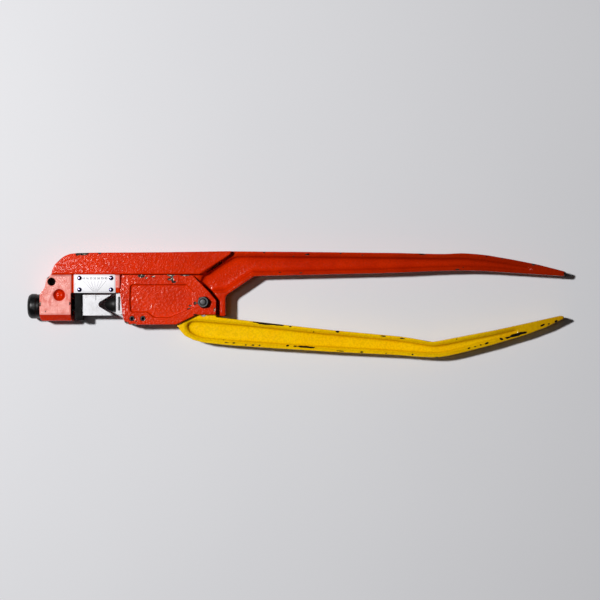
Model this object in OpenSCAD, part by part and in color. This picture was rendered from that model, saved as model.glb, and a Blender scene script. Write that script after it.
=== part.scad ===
// Long-handled mechanical crimping tool for cable lugs, lying on its side.
// +Z is up from the surface it lies on, +X runs from the head to the handle ends and +Y from the
// moving handle to the fixed one. The origin is at the middle of the overall length and width.
// All sizes are in millimetres.

/* [Overall] */
// Thickness of the spine, the thickest part of the casting
body_t = 36; // [32:0.5:42]
// Height of the plane that the handles, ram, punch and nest are centred on
mid_z = 18; // [16:0.5:21]
// Height of the head, the land and the side cover over the resting surface
face_z = 34; // [30:0.5:40]
// Thickness of the wall behind the mechanism
rear_wall_t = 8; // [6:0.5:10]
// Thickness of the side cover in front of the mechanism
cover_t = 6; // [4:0.5:8]
// Gap kept on each side of a part that slides or swings between the walls
side_gap = 0.3; // [0.2:0.05:0.5]

/* [Handles] */
// Thickness of the web between a handle's two flanges
web_t = 5; // [4:0.5:8]
// X where the handles start to get thinner towards their ends
taper_x = 130; // [60:5:200]
// Thickness of the handles at their ends
tip_t = 12; // [8:0.5:18]
// X of the handle pivot
pivot_x = -112.3; // [-116:0.1:-108]
// Y of the handle pivot
pivot_y = 2.9; // [0:0.1:6]
// Radius of the moving handle's eye
eye_r = 10.6; // [9:0.1:12]

/* [Pivot and cam] */
// Radius of the pivot bolt's ground shoulder
shoulder_r = 6; // [5:0.1:7]
// Radius of the pivot bolt's threaded end
thread_r = 4; // [3:0.1:5]
// Width across the flats of the pivot nut
nut_af = 12.5; // [11:0.1:14]
// Outer radius of the bronze bush
bush_r = 7.6; // [7:0.1:8.5]
// Radius of the circle that the cam's face unwinds from, which sets the ram's travel for a turn
cam_base_r = 12; // [10:0.1:13]
// How far left of the pivot the cam meets the ram with the handles closed
cam_reach = 12.6; // [11.5:0.1:14]
// Thickness of the cam plate
cam_t = 10.8; // [8:0.1:14]

/* [Ram and punch] */
// X of the ram's front face with the handles closed
ram_front_x = -217.4; // [-220:0.1:-212]
// X of the ram's back face with the handles closed
ram_back_x = -166.8; // [-168:0.1:-165]
// Y of the ram's lower face
ram_low_y = -11.7; // [-13:0.1:-10]
// Y of the ram's upper face
ram_high_y = 13.2; // [11:0.1:14]
// Radius of the punch body
punch_r = 9.5; // [8:0.1:10]
// Radius of the punch shank
shank_r = 5; // [4:0.1:6]
// X of the punch's tip with the handles closed
punch_tip_x = -232; // [-233:0.1:-229]

/* [Nest] */
// X of the mouth of the V in the nest die
nest_mouth_x = -223.2; // [-225:0.1:-222]
// X of the joint between the nest die and its holder
nest_back_x = -258.4; // [-262:0.1:-255]
// Half of the angle of the V, in degrees
vee_half = 31; // [25:0.5:40]
// Radius at the bottom of the V
vee_r = 4; // [3:0.1:6]
// X of the leftmost point of the V
vee_x = -238.6; // [-241:0.1:-236]
// Thickness of the nest die
nest_t = 18; // [14:0.5:22]

/* [Adjuster] */
// Y of the adjusting spindle's axis
spindle_y = -2.2; // [-4:0.1:0]
// Radius of the spindle where it turns in the head
spindle_r = 10; // [8:0.1:12]
// Radius of the spindle's threaded nose
nose_r = 6; // [5:0.1:7]
// Radius of the adjusting knob
knob_r = 15; // [12:0.1:16]
// X of the knob's outer face, the left end of the tool
knob_x = -324; // [-330:0.1:-320]

/* [Small parts] */
// Radius of the round hole through the head
tether_r = 4.5; // [3:0.1:6]
// Outer radius of the hollow pins that hold the cover
cover_pin_r = 3; // [2.5:0.1:3.5]
// Radius of the pin that keeps the spindle in the head
keeper_r = 4.9; // [4:0.1:5.2]
// Thickness of the scale plate
scale_t = 0.8; // [0.5:0.1:1.5]
// Mean radius of the return spring
spring_r = 2.8; // [2:0.1:3]
// Radius of the return spring's wire
wire_r = 0.55; // [0.3:0.05:0.8]

/* [Hidden] */
$fn = 64;
eps = 0.02;
gap_low = rear_wall_t;
gap_high = face_z - cover_t;
move_low = gap_low + side_gap;
move_high = gap_high - side_gap;
web_low = mid_z - web_t / 2;
web_high = mid_z + web_t / 2;
handle_end_x = 324;
head_left_x = -308.8;
head_right_x = -270.6;
step_y = 36;
throat_y = 13.7;
scale_seat_z = face_z - 1.4;
cover_left_x = -212.3;
strip_x = -217.2;
strip_low_y = 19.8;
cover_pin_at = [[-197.6, -16.9], [-184.6, -16.9]];
tether_at = [-294.1, 27.2];
keeper_at = [-284.9, 11.2];
rivet_at = [[-260.6, 31.6], [-222.6, 31.6], [-260.6, 17.6], [-222.6, 17.6]];
post_x = -186;
clip_x = -213.6;
knob_pin_x = -312.6;
knob_right_x = head_left_x - 0.3;
spindle_left_x = -318;
spindle_right_x = -251.2;
groove_r = 8.1;
groove_half = 5.3;
shank_end_x = -205.8;
holder_left_x = -266.6;
screw_seat_x = -263.4;
screw_end_x = -249;
screw_at = [[spindle_y - 7.6, mid_z - 5.5], [spindle_y + 7.6, mid_z + 5.5]];
screw_r = 1.5;
screw_head_r = 2.7;
vee_centre_x = vee_x + vee_r;

// Outline of the thick spine: the nose over the head, the back and the slanting ridge
spine_outline = [
    [-294.4, step_y], [-294.4, 36.5], [-292.8, 42.8], [-289.8, 48.2], [-283.7, 54.4],
    [-277.6, 58.6], [-271.4, 60.8], [-262, 61.8], [-240, 62.2], [-152, 62.8],
    [-78, 64], [-79.7, 60.2], [-113.6, step_y]
];
// Outline of the head block that the spindle turns in
head_outline = [
    [head_left_x, -17.5], [-306.4, -19.9], [head_right_x, -19.9], [head_right_x, 40],
    [-292, 40], [-294.4, 36.5], [-300.5, 31.3], [-302.8, 19.9], [-305.9, 16.1],
    [head_left_x, 11.5]
];
// Outline of the casting around the ram: land over the ram, and ledge round the cam
land_outline = [
    [cover_left_x, throat_y], [-166, throat_y], [-166, 20.4], [-131.5, 20.4], [-126.5, 23.5],
    [-112.3, 22.4], [-103.5, 17], [-96.3, 8.5], [-93, 4], [-93, -14.4],
    [-85.8, -14.4], [-85.8, 10.1], [-83, 14], [-104, 38], [cover_left_x, 38]
];
// Outline shared by the wall behind the mechanism and, in front of it, the cover
cover_outline = [
    [-209.8, 35.6], [-127.1, 35.6], [-124.3, 34.4], [-105, 14.8], [-96.7, 4.6],
    [-97.2, -12.4], [-120.6, -12.4], [-144.5, -24], [-200, -24.6], [-206.5, -22],
    [-209.2, -12.7], [-211.3, 4.4], [cover_left_x, 14.2]
];
rear_wall_outline = [
    [cover_left_x, 38], [-104, 38], [-83, 14], [-85.8, 10.1], [-85.8, -14.4],
    [-97.2, -14.4], [-120.6, -12.4], [-144.5, -24], [-200, -24.6], [-206.5, -22],
    [-209.2, -12.7], [-211.3, 4.4]
];
// Outline of the hollow cast in the face of the cover
pocket_outline = [
    [-197.3, 23.8], [-132.6, 23.8], [-123.4, 14.8], [-123.4, -3.1], [-151, -15],
    [-154.6, -15.6], [-170, -15.6], [-172.9, -14.6], [-178.5, -10], [-180.4, -9.1],
    [-197.5, -9.1], [-199.7, -7.4], [-200.4, 4.4], [-199.7, 21.5]
];
// Outline of the fixed handle with the neck that joins it to the body
fixed_outline = [
    [-108, 38], [-90, 50], [-90, 62], [-78, 64], [0, 63.4], [124, 62], [160, 61], [178, 60.9],
    [199, 61.7], [215, 60.8], [230, 59.2], [260, 54], [291, 47.9], [314, 42.1],
    [323, 39.6], [handle_end_x, 38.4], [322.6, 34.4], [320.5, 33.8], [298.6, 35.2], [268, 37.2],
    [229.7, 39.7], [199.1, 40.6], [160.8, 39.7], [123.6, 37.9], [99.6, 37.2],
    [-51.2, 33.8], [-54.5, 31.6], [-83.5, 11.8], [-85.8, 8.2], [-85.8, -14.4],
    [-93, -14.4], [-93, 8]
];
// Outline of the hollow in each side of the fixed handle
fixed_hollow = [
    [-68, 57.4], [0, 56.8], [124, 55.6], [176, 54.7], [199, 55.3], [228, 52.6],
    [253, 48.6], [276, 44.6], [284, 42.4], [276, 41.2], [253, 43.4], [228, 45.4],
    [199, 46.2], [160.8, 45.4], [99.6, 42.9], [-48, 39.4], [-53, 40], [-57, 38],
    [-87, 17.5], [-106.6, 17], [-116, 26.6], [-112.5, 34], [-75.5, 56.5]
];
// Outline of the moving handle up to its hidden root
moving_outline = [
    [-144.5, -25.6], [-121.1, 8.9], [-101.9, 4.7], [-97, -15.3], [-94.3, -15.4],
    [-29.2, -22.9], [41.3, -30.8], [123.6, -38.4], [137.9, -40.4], [155, -43.5],
    [163.9, -44.9], [172, -43.6], [191.4, -39.8], [237.4, -31.1], [275.6, -22.9],
    [298.6, -17.6], [318, -13.4], [321, -14], [322, -16.6], [298.6, -28.3],
    [275.6, -36.7], [237.4, -48.2], [199.1, -58.2], [182, -62], [168.5, -64],
    [158, -63.9], [137.9, -62.6], [123.6, -61.2], [41.3, -57.2], [-29.2, -52.8],
    [-82, -49.3], [-112, -46.1], [-124.2, -43.1], [-134.8, -37.8], [-141.8, -29.9]
];
// Outline of the hollow in each side of the moving handle
moving_hollow = [
    [-132.6, -26.4], [-131, -22.8], [-127, -20.6], [-117.2, -20.8], [-64.4, -25.4],
    [23.6, -34.8], [123.6, -44.2], [150, -48.4], [164.2, -50.6], [176, -49],
    [199, -44.6], [237, -37], [262, -31.2], [268, -30.6], [262, -34.6], [237, -41.8],
    [199, -51.8], [180, -56.4], [168, -58], [158, -57.9], [137.9, -56.8], [123.6, -55.6],
    [6, -49.2], [-82, -43], [-112, -40.2], [-121, -37.8], [-128.8, -33.4]
];

// A flat-sided body with the given outline between two heights
module slab(outline, low, high) {
    translate([0, 0, low])
        linear_extrude(high - low)
            polygon(outline);
}

// A block given by its lowest and highest corners
module block(low, high) {
    translate(low)
        cube(high - low);
}

// A round bar standing up at a point
module bar_z(at, r, low, high) {
    translate([at[0], at[1], low])
        cylinder(r = r, h = high - low);
}

// A round bar lying along X
module bar_x(y, z, r, left, right) {
    translate([left, y, z])
        rotate([0, 90, 0])
            cylinder(r = r, h = right - left);
}

// A turned body lying along X, from a list of [radius, x]
module turned_x(y, z, profile) {
    translate([0, y, z])
        rotate([0, 90, 0])
            rotate_extrude()
                polygon(profile);
}

// Side view of a handle: full thickness up to the grip, then thinner to the end
module side_taper(low, high) {
    translate([0, 100, 0])
        rotate([90, 0, 0])
            linear_extrude(200)
                polygon([
                    [-160, low], [taper_x, low], [handle_end_x, mid_z - tip_t / 2],
                    [handle_end_x, mid_z + tip_t / 2], [taper_x, high], [-160, high]
                ]);
}

// A handle: two flanges and a thin web, one hollow in each side
module handle_section(outline, hollow, low, high) {
    intersection() {
        difference() {
            slab(outline, low, high);
            slab(hollow, web_high, high + 1);
            slab(hollow, low - 1, web_low);
        }
        side_taper(low, high);
    }
}

// The head: a block with a sloped lower edge in front, bored for the spindle
module head_block() {
    difference() {
        slab(head_outline, 0, face_z);
        translate([head_left_x - 1, -19.9, face_z - 8])
            rotate([45, 0, 0])
                cube([41, 20, 20]);
    }
}

module frame() {
    color([0.84, 0.2, 0.05])
        difference() {
            union() {
                slab(spine_outline, 0, body_t);
                head_block();
                block([-272, throat_y, 0], [cover_left_x, 38, scale_seat_z]);
                block([strip_x, strip_low_y, 0], [cover_left_x + 0.4, 38, face_z]);
                slab(rear_wall_outline, 0, gap_low);
                slab(land_outline, 0, gap_high);
                handle_section(fixed_outline, fixed_hollow, gap_low, gap_high);
            }
            // hollow cast in the back, matching the one in the cover
            slab(pocket_outline, -1, 2);
            // the handle's hollow runs on over the land up to the cover
            slab(fixed_hollow, web_high, face_z);
            bar_z(tether_at, tether_r, -1, face_z + 1);
            bar_z(keeper_at, keeper_r + eps, 2, face_z + 1);
            bar_z(keeper_at, keeper_r + 2, face_z - 2.2, face_z + 1);
            bar_x(spindle_y, mid_z, spindle_r + 0.06, head_left_x - 1, head_right_x + 1);
            // groove that keeps the nest holder from turning
            block([head_right_x, throat_y - 1, mid_z - 4.2], [-253.5, throat_y + 4.7, mid_z + 4.2]);
            for (at = rivet_at)
                bar_z(at, 1.45 + eps, scale_seat_z - 6, scale_seat_z + 1);
            for (at = cover_pin_at)
                bar_z(at, cover_pin_r + eps, -1, gap_low + 1);
            bar_z([post_x, 0], 2.5 + eps, 3.5, gap_low + 1);
            bar_z([pivot_x, pivot_y], shoulder_r + 0.04, -1, gap_low + 1);
            bar_z([pivot_x, pivot_y], 9.3, -1, 3.8);
        }
}

module front_cover() {
    color([0.84, 0.2, 0.05])
        difference() {
            slab(cover_outline, gap_high, face_z);
            slab(pocket_outline, face_z - 2.4, face_z + 1);
            for (at = cover_pin_at)
                bar_z(at, cover_pin_r + eps, gap_high - 1, face_z + 1);
            bar_z([pivot_x, pivot_y], thread_r + 0.1, gap_high - 1, face_z + 1);
            bar_z([post_x, 0], 2.5 + eps, gap_high - 1, gap_high + 2.2);
        }
}

// The block under the ram, held by the two hollow pins
module guide_block() {
    color([0.35, 0.35, 0.37])
        difference() {
            block([-205, -23.6, gap_low], [-170, ram_low_y - side_gap, gap_high]);
            for (at = cover_pin_at)
                bar_z(at, cover_pin_r + eps, gap_low - 1, gap_high + 1);
        }
}

// Two hollow slotted pins through cover, guide block and rear wall
module cover_pins() {
    color([0.6, 0.6, 0.62])
        for (at = cover_pin_at)
            difference() {
                bar_z(at, cover_pin_r, 0.5, face_z + 0.3);
                bar_z(at, 1.9, 0, face_z + 1);
                block([at[0] - 0.4, at[1] - 4, 0], [at[0] + 0.4, at[1], face_z + 1]);
            }
}

// Shouldered bolt that the moving handle swings on, head sunk in the back
module pivot_bolt() {
    color([0.3, 0.3, 0.32])
        difference() {
            union() {
                bar_z([pivot_x, pivot_y], 9, 0.6, 3.6);
                bar_z([pivot_x, pivot_y], shoulder_r, 3.6, gap_high);
                bar_z([pivot_x, pivot_y], thread_r, gap_high, face_z + 7.8);
            }
            block([pivot_x - 10, pivot_y - 1.1, 0], [pivot_x + 10, pivot_y + 1.1, 2.2]);
        }
}

module pivot_nut() {
    color([0.3, 0.3, 0.32])
        translate([pivot_x, pivot_y, face_z])
            difference() {
                rotate([0, 0, 12])
                    cylinder(r = nut_af / 2 / cos(30), h = 6.5, $fn = 6);
                translate([0, 0, -1])
                    cylinder(r = thread_r + eps, h = 9);
            }
}

// Fixed cross pin that the return spring pushes from
module spring_post() {
    color([0.5, 0.5, 0.52])
        bar_z([post_x, 0], 2.5, 3.6, gap_high + 2);
}

// A coil spring along X, built from rings of points that follow its helix
module return_spring() {
    left = post_x + 2.8;
    right = -170.3;
    turns = 6;
    around = 24;
    side = 8;
    steps = turns * around;
    points = [
        for (i = [0 : steps])
            for (j = [0 : side - 1])
                let (
                    a = 360 * i / around,
                    b = 360 * j / side,
                    r = spring_r + wire_r * cos(b),
                    x = left + wire_r + (right - left - 2 * wire_r) * i / steps + wire_r * sin(b)
                )
                [x, r * cos(a), mid_z + r * sin(a)]
    ];
    sides = [
        for (i = [0 : steps - 1])
            for (j = [0 : side - 1])
                let (k = (j + 1) % side, p = i * side, q = p + side)
                [p + j, q + j, q + k, p + k]
    ];
    ends = [
        [for (j = [0 : side - 1]) j],
        [for (j = [side - 1 : -1 : 0]) steps * side + j]
    ];
    color([0.7, 0.7, 0.72])
        polyhedron(points = points, faces = concat(sides, ends), convexity = 8);
}

module scale_plate() {
    color([0.9, 0.9, 0.9])
        difference() {
            block([-267.4, throat_y + 0.2, scale_seat_z], [-217.5, step_y - 0.3, scale_seat_z + scale_t]);
            for (at = rivet_at)
                bar_z(at, 1.6, scale_seat_z - 1, face_z + 1);
        }
}

// Four drive rivets with low round heads
module scale_rivets() {
    color([0.6, 0.6, 0.65])
        for (at = rivet_at)
            translate([at[0], at[1], scale_seat_z + scale_t])
                rotate_extrude()
                    polygon([
                        [0, 1.5], [0.9, 1.42], [1.7, 1.15], [2.4, 0.7], [2.8, 0.02], [1.45, 0.02],
                        [1.45, -5.5], [0, -5.5]
                    ]);
}

// Pin across the spindle's groove: the spindle can turn but not leave the head
module spindle_pin() {
    color([0.8, 0.2, 0.08])
        bar_z(keeper_at, keeper_r, 2.5, face_z - 1.6);
}

module moving_handle() {
    color([0.95, 0.72, 0.05])
        difference() {
            union() {
                handle_section(moving_outline, moving_hollow, move_low, move_high);
                bar_z([pivot_x, pivot_y], eye_r, move_low, move_high);
            }
            bar_z([pivot_x, pivot_y], bush_r + eps, move_low - 1, move_high + 1);
            // slot for the cam plate, open upwards
            block([pivot_x - 22, pivot_y - 6.4, mid_z - cam_t / 2 - 0.1],
                [pivot_x + 22, pivot_y + 14, mid_z + cam_t / 2 + 0.1]);
            block([pivot_x - 8.3, pivot_y - 20.3, mid_z - cam_t / 2 - 0.1],
                [pivot_x + 8.3, pivot_y - 6, mid_z + cam_t / 2 + 0.1]);
            bar_z([pivot_x, pivot_y - 14.6], 3 + eps, move_low - 1, move_high + 1);
        }
}

// A point of the cam face: the end of a string unwound by turn t, in degrees, from the base circle
function cam_point(t) =
    let (a = 90 - t, s = cam_reach + cam_base_r * t * PI / 180)
    [pivot_x + cam_base_r * cos(a) - s * sin(a), pivot_y + cam_base_r * sin(a) + s * cos(a)];

// Hardened plate in the handle's slot. Its face pushes the ram by the same distance for each degree.
module cam_plate() {
    face = [for (t = [-54 : 3 : 3]) cam_point(t)];
    color([0.45, 0.45, 0.48])
        difference() {
            union() {
                bar_z([pivot_x, pivot_y], eye_r - 0.2, mid_z - cam_t / 2, mid_z + cam_t / 2);
                slab(concat(face, [[pivot_x - 9.5, pivot_y + 14.2], [pivot_x + 2, pivot_y + 10.2],
                    [pivot_x, pivot_y]]), mid_z - cam_t / 2, mid_z + cam_t / 2);
                block([pivot_x - 8, pivot_y - 20, mid_z - cam_t / 2],
                    [pivot_x + 8, pivot_y, mid_z + cam_t / 2]);
            }
            bar_z([pivot_x, pivot_y], bush_r + eps, 0, body_t);
            bar_z([pivot_x, pivot_y - 14.6], 3 + eps, 0, body_t);
        }
}

module cam_pin() {
    color([0.6, 0.6, 0.62])
        bar_z([pivot_x, pivot_y - 14.6], 3, move_low, move_high);
}

module handle_bush() {
    color([0.72, 0.5, 0.25])
        difference() {
            bar_z([pivot_x, pivot_y], bush_r, move_low, move_high);
            bar_z([pivot_x, pivot_y], shoulder_r + 0.05, 0, body_t);
        }
}

// The ram: a block guided on four sides, with a finger at the back that the cam pushes
module ram() {
    heel_x = pivot_x - cam_reach;
    color([0.8, 0.8, 0.82])
        difference() {
            union() {
                block([ram_front_x, ram_low_y, move_low], [ram_back_x, ram_high_y, move_high]);
                slab([[-168, 7.2], [-164.6, 7.2], [heel_x, 14.1], [heel_x, 20], [-165.6, 20],
                    [-165.6, ram_high_y], [-168, ram_high_y - 1]], move_low, move_high);
            }
            bar_x(0, mid_z, shank_r + eps, ram_front_x - 1, shank_end_x + 0.4);
            // slot for the clip that holds the punch
            for (y = [-6.5, 8.3])
                bar_z([clip_x, y], 1.1, 0, body_t);
            block([clip_x - 1.1, -6.5, 0], [clip_x + 1.1, 8.3, body_t]);
            // slot for the return spring and its post
            block([-198.6, -4, 0], [-170, 4, body_t]);
        }
}

module punch() {
    color([0.2, 0.2, 0.21])
        turned_x(0, mid_z, [
            [0, punch_tip_x], [1.2, punch_tip_x], [2.2, punch_tip_x + 0.5],
            [4, punch_tip_x + 2], [5.7, punch_tip_x + 4], [7.1, punch_tip_x + 6],
            [8.2, punch_tip_x + 8], [9, punch_tip_x + 10], [punch_r, punch_tip_x + 12],
            [punch_r, ram_front_x], [shank_r, ram_front_x], [shank_r, clip_x - 1.15],
            [3.7, clip_x - 1.15], [3.7, clip_x + 1.15], [shank_r, clip_x + 1.15],
            [shank_r, shank_end_x - 1], [shank_r - 1, shank_end_x], [0, shank_end_x]
        ]);
}

// Flat clip astride the groove in the punch shank
module punch_clip() {
    color([0.15, 0.15, 0.16])
        difference() {
            union() {
                for (y = [-6.4, 8.2])
                    bar_z([clip_x, y], 1, 9, move_high - 0.5);
                block([clip_x - 1, -6.4, 9], [clip_x + 1, 8.2, move_high - 0.5]);
            }
            bar_x(0, mid_z, 3.75, clip_x - 2, clip_x + 2);
            block([clip_x - 2, -3.75, 8], [clip_x + 2, 3.75, mid_z]);
        }
}

module nest_die() {
    reach = nest_mouth_x - vee_centre_x + 2;
    edge = [sin(vee_half) * vee_r, cos(vee_half) * vee_r];
    mouth = reach * tan(vee_half) + vee_r / cos(vee_half);
    low = mid_z - nest_t / 2;
    high = mid_z + nest_t / 2;
    color([0.85, 0.85, 0.87])
        difference() {
            block([nest_back_x, -13.3, low], [nest_mouth_x, 11.4, high]);
            bar_z([vee_centre_x, 0], vee_r, 0, body_t);
            slab([[vee_centre_x - edge[0], -edge[1]], [vee_centre_x + reach, -mouth],
                [vee_centre_x + reach, mouth], [vee_centre_x - edge[0], edge[1]]], 0, body_t);
            bar_x(spindle_y, mid_z, nose_r + 0.5, nest_back_x - 1, spindle_right_x + 4.6);
            for (at = screw_at)
                bar_x(at[0], at[1], screw_r + eps, nest_back_x - 1, screw_end_x + 1);
            // index line read against the scale plate
            block([-242, 5, high - 0.4], [-241.4, 12, high + 1]);
        }
}

// Holder that the spindle's nose draws along, with a tongue in the groove of the frame
module nest_holder() {
    color([0.16, 0.16, 0.17])
        difference() {
            union() {
                block([holder_left_x, -18.7, 6], [nest_back_x, 13, 30]);
                block([holder_left_x, 12, mid_z - 3.9],
                    [nest_back_x, throat_y + 4.3, mid_z + 3.9]);
            }
            bar_x(spindle_y, mid_z, nose_r + 0.06, holder_left_x - 1, nest_back_x + 1);
            for (at = screw_at) {
                bar_x(at[0], at[1], screw_r + eps, holder_left_x - 1, nest_back_x + 1);
                bar_x(at[0], at[1], screw_head_r + 0.1, holder_left_x - 1, screw_seat_x);
            }
        }
}

module nest_screws() {
    color([0.25, 0.25, 0.26])
        for (at = screw_at)
            difference() {
                union() {
                    bar_x(at[0], at[1], screw_r, screw_seat_x - 1, screw_end_x);
                    bar_x(at[0], at[1], screw_head_r, screw_seat_x - 3, screw_seat_x);
                }
                bar_x(at[0], at[1], 1.44, screw_seat_x - 4, screw_seat_x - 1.4, $fn = 6);
            }
}

module adjusting_spindle() {
    color([0.4, 0.4, 0.42])
        difference() {
            turned_x(spindle_y, mid_z, [
                [0, spindle_left_x], [nose_r, spindle_left_x],
                [nose_r, head_left_x - 0.1], [spindle_r, head_left_x - 0.1],
                [spindle_r, keeper_at[0] - groove_half], [groove_r, keeper_at[0] - groove_half],
                [groove_r, keeper_at[0] + groove_half], [spindle_r, keeper_at[0] + groove_half],
                [spindle_r, head_right_x - 0.8], [nose_r, head_right_x - 0.8],
                [nose_r, spindle_right_x - 1], [nose_r - 1, spindle_right_x], [0, spindle_right_x]
            ]);
            bar_z([knob_pin_x, spindle_y], 1.6 + eps, 0, body_t);
        }
}

module adjusting_knob() {
    color([0.12, 0.12, 0.13])
        difference() {
            turned_x(spindle_y, mid_z, [
                [0, knob_x], [knob_r - 4.4, knob_x], [knob_r - 1.6, knob_x + 1.4],
                [knob_r, knob_x + 4.4], [knob_r, knob_x + 7.4], [knob_r - 1.3, knob_x + 8],
                [knob_r - 1.3, knob_x + 9], [knob_r - 0.5, knob_x + 9.6],
                [knob_r - 0.5, knob_right_x - 0.7], [knob_r - 1.2, knob_right_x],
                [nose_r + eps, knob_right_x], [nose_r + eps, spindle_left_x - 0.2],
                [0, spindle_left_x - 0.2]
            ]);
            bar_z([knob_pin_x, spindle_y], 1.6 + eps, 0, body_t);
            // slot across the end for a bar or coin
            translate([knob_x - 1, spindle_y, mid_z])
                rotate([28, 0, 0])
                    translate([0, -20, -1.6])
                        cube([3.4, 40, 3.2]);
        }
}

module knob_pin() {
    color([0.5, 0.5, 0.52])
        bar_z([knob_pin_x, spindle_y], 1.6, mid_z - knob_r + 1.2, mid_z + knob_r - 1.2);
}

frame();
front_cover();
guide_block();
cover_pins();
pivot_bolt();
pivot_nut();
spring_post();
return_spring();
scale_plate();
scale_rivets();
spindle_pin();
moving_handle();
cam_plate();
cam_pin();
handle_bush();
ram();
punch();
punch_clip();
nest_die();
nest_holder();
nest_screws();
adjusting_spindle();
adjusting_knob();
knob_pin();
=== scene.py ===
"""Looks of the long-handled cable lug crimping tool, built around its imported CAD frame.

Lengths are written in millimetres and turned into metres by MM. The casts are the CAD solids with
rounded edges, a rough skin and chipped paint; turned and ground pieces are rebuilt with finer edges.
"""

import math

import bmesh
import bpy
import numpy as np
from mathutils import Matrix, Vector, kdtree, noise


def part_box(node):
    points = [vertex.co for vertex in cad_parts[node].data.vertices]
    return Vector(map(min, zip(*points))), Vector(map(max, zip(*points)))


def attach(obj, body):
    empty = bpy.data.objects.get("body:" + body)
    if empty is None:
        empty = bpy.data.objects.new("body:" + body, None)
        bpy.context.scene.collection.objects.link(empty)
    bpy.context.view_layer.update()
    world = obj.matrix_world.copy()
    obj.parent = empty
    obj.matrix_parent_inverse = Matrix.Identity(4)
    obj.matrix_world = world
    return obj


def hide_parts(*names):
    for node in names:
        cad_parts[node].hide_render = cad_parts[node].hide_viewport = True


MM = 0.001
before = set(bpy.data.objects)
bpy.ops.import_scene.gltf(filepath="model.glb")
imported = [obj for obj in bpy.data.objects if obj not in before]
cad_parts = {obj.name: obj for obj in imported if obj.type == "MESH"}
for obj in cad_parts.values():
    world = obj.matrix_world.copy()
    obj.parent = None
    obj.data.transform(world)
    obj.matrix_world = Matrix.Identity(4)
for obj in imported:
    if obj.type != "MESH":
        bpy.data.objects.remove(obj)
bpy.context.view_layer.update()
scene = bpy.context.scene


# ---------------------------------------------------------------- places taken from the CAD frame

def box_mm(node):
    """Lowest and highest corner of a CAD node, in millimetres."""
    low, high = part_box(node)
    return Vector(low) / MM, Vector(high) / MM


def middle_mm(node):
    low, high = box_mm(node)
    return (low + high) / 2


MID_Z = middle_mm("ram").z
FACE_Z = box_mm("front_cover")[1].z
PIVOT = middle_mm("handle_bush")
SPINDLE_Y = middle_mm("adjusting_spindle").y
STRIP_RIGHT = box_mm("front_cover")[0].x
INDEX_X = -241.7

# the hollows' floors on the front and on the back of both handles
WEB_HIGH = MID_Z + 2.5
WEB_LOW = MID_Z - 2.5

# how far down from its highest point a chip reaches, and the wear from which the paint is gone
CHIP_REACH = 2.5
CHIP_LIMIT = 0.5


# ---------------------------------------------------------------- shader building blocks

class Shader:
    """A Principled material and short ways to wire its nodes, all in object space metres."""

    def __init__(self, name, **values):
        self.mat = bpy.data.materials.new(name)
        self.mat.use_nodes = True
        self.tree = self.mat.node_tree
        self.tree.nodes.clear()
        out = self.add("ShaderNodeOutputMaterial")
        self.bsdf = self.add("ShaderNodeBsdfPrincipled")
        self.link(self.bsdf.outputs["BSDF"], out.inputs["Surface"])
        self.place = self.add("ShaderNodeTexCoord").outputs["Object"]
        for key, value in values.items():
            self.bsdf.inputs[key.replace("_", " ")].default_value = value

    def add(self, kind, **settings):
        """A new node of the given kind, with its own settings."""
        node = self.tree.nodes.new(kind)
        for key, value in settings.items():
            setattr(node, key, value)
        return node

    def link(self, out, into):
        self.tree.links.new(out, into)

    def feed(self, value, into):
        """Links a socket, or sets a plain number or colour."""
        if isinstance(value, bpy.types.NodeSocket):
            self.link(value, into)
        else:
            into.default_value = value

    def stretched(self, x, y, z):
        """The place, scaled by x, y and z, for grain that runs one way."""
        node = self.add("ShaderNodeMapping")
        self.link(self.place, node.inputs["Vector"])
        node.inputs["Scale"].default_value = (x, y, z)
        return node.outputs["Vector"]

    def noise(self, size_mm, detail=3.0, rough=0.55, where=None):
        """Noise with features of about size_mm, from 0 to 1."""
        node = self.add("ShaderNodeTexNoise")
        self.link(where or self.place, node.inputs["Vector"])
        node.inputs["Scale"].default_value = 1.0 / (size_mm * MM)
        node.inputs["Detail"].default_value = detail
        node.inputs["Roughness"].default_value = rough
        return node.outputs["Fac"]

    def cells(self, size_mm, smooth):
        """Distance to rounded cells of about size_mm, for hammered enamel."""
        node = self.add("ShaderNodeTexVoronoi", feature="SMOOTH_F1")
        self.link(self.place, node.inputs["Vector"])
        node.inputs["Scale"].default_value = 1.0 / (size_mm * MM)
        node.inputs["Smoothness"].default_value = smooth
        return node.outputs["Distance"]

    def attribute(self, name):
        """A number that cast() gave each point of the mesh."""
        node = self.add("ShaderNodeAttribute", attribute_name=name)
        return node.outputs["Fac"]

    def math(self, operation, a, b):
        node = self.add("ShaderNodeMath", operation=operation)
        self.feed(a, node.inputs[0])
        self.feed(b, node.inputs[1])
        return node.outputs[0]

    def between(self, value, low, high, out_low=0.0, out_high=1.0):
        """value, mapped from low..high to out_low..out_high and clamped."""
        node = self.add("ShaderNodeMapRange")
        self.feed(value, node.inputs["Value"])
        node.inputs["From Min"].default_value = low
        node.inputs["From Max"].default_value = high
        node.inputs["To Min"].default_value = out_low
        node.inputs["To Max"].default_value = out_high
        return node.outputs["Result"]

    def blend(self, share, a, b):
        """Colour a where share is 0 and colour b where it is 1."""
        node = self.add("ShaderNodeMix", data_type="RGBA")
        self.feed(share, node.inputs["Factor"])
        self.feed(a, node.inputs["A"])
        self.feed(b, node.inputs["B"])
        return node.outputs["Result"]

    def bump(self, height, depth_mm, under=None):
        """A normal raised by height, over the normal under if there is one."""
        node = self.add("ShaderNodeBump")
        self.link(height, node.inputs["Height"])
        node.inputs["Distance"].default_value = depth_mm * MM
        node.inputs["Strength"].default_value = 1.0
        if under is not None:
            self.link(under, node.inputs["Normal"])
        return node.outputs["Normal"]

    def set(self, **sockets):
        """Feeds sockets of the Principled shader, named with _ for a space."""
        for key, value in sockets.items():
            self.feed(value, self.bsdf.inputs[key.replace("_", " ")])


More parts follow.
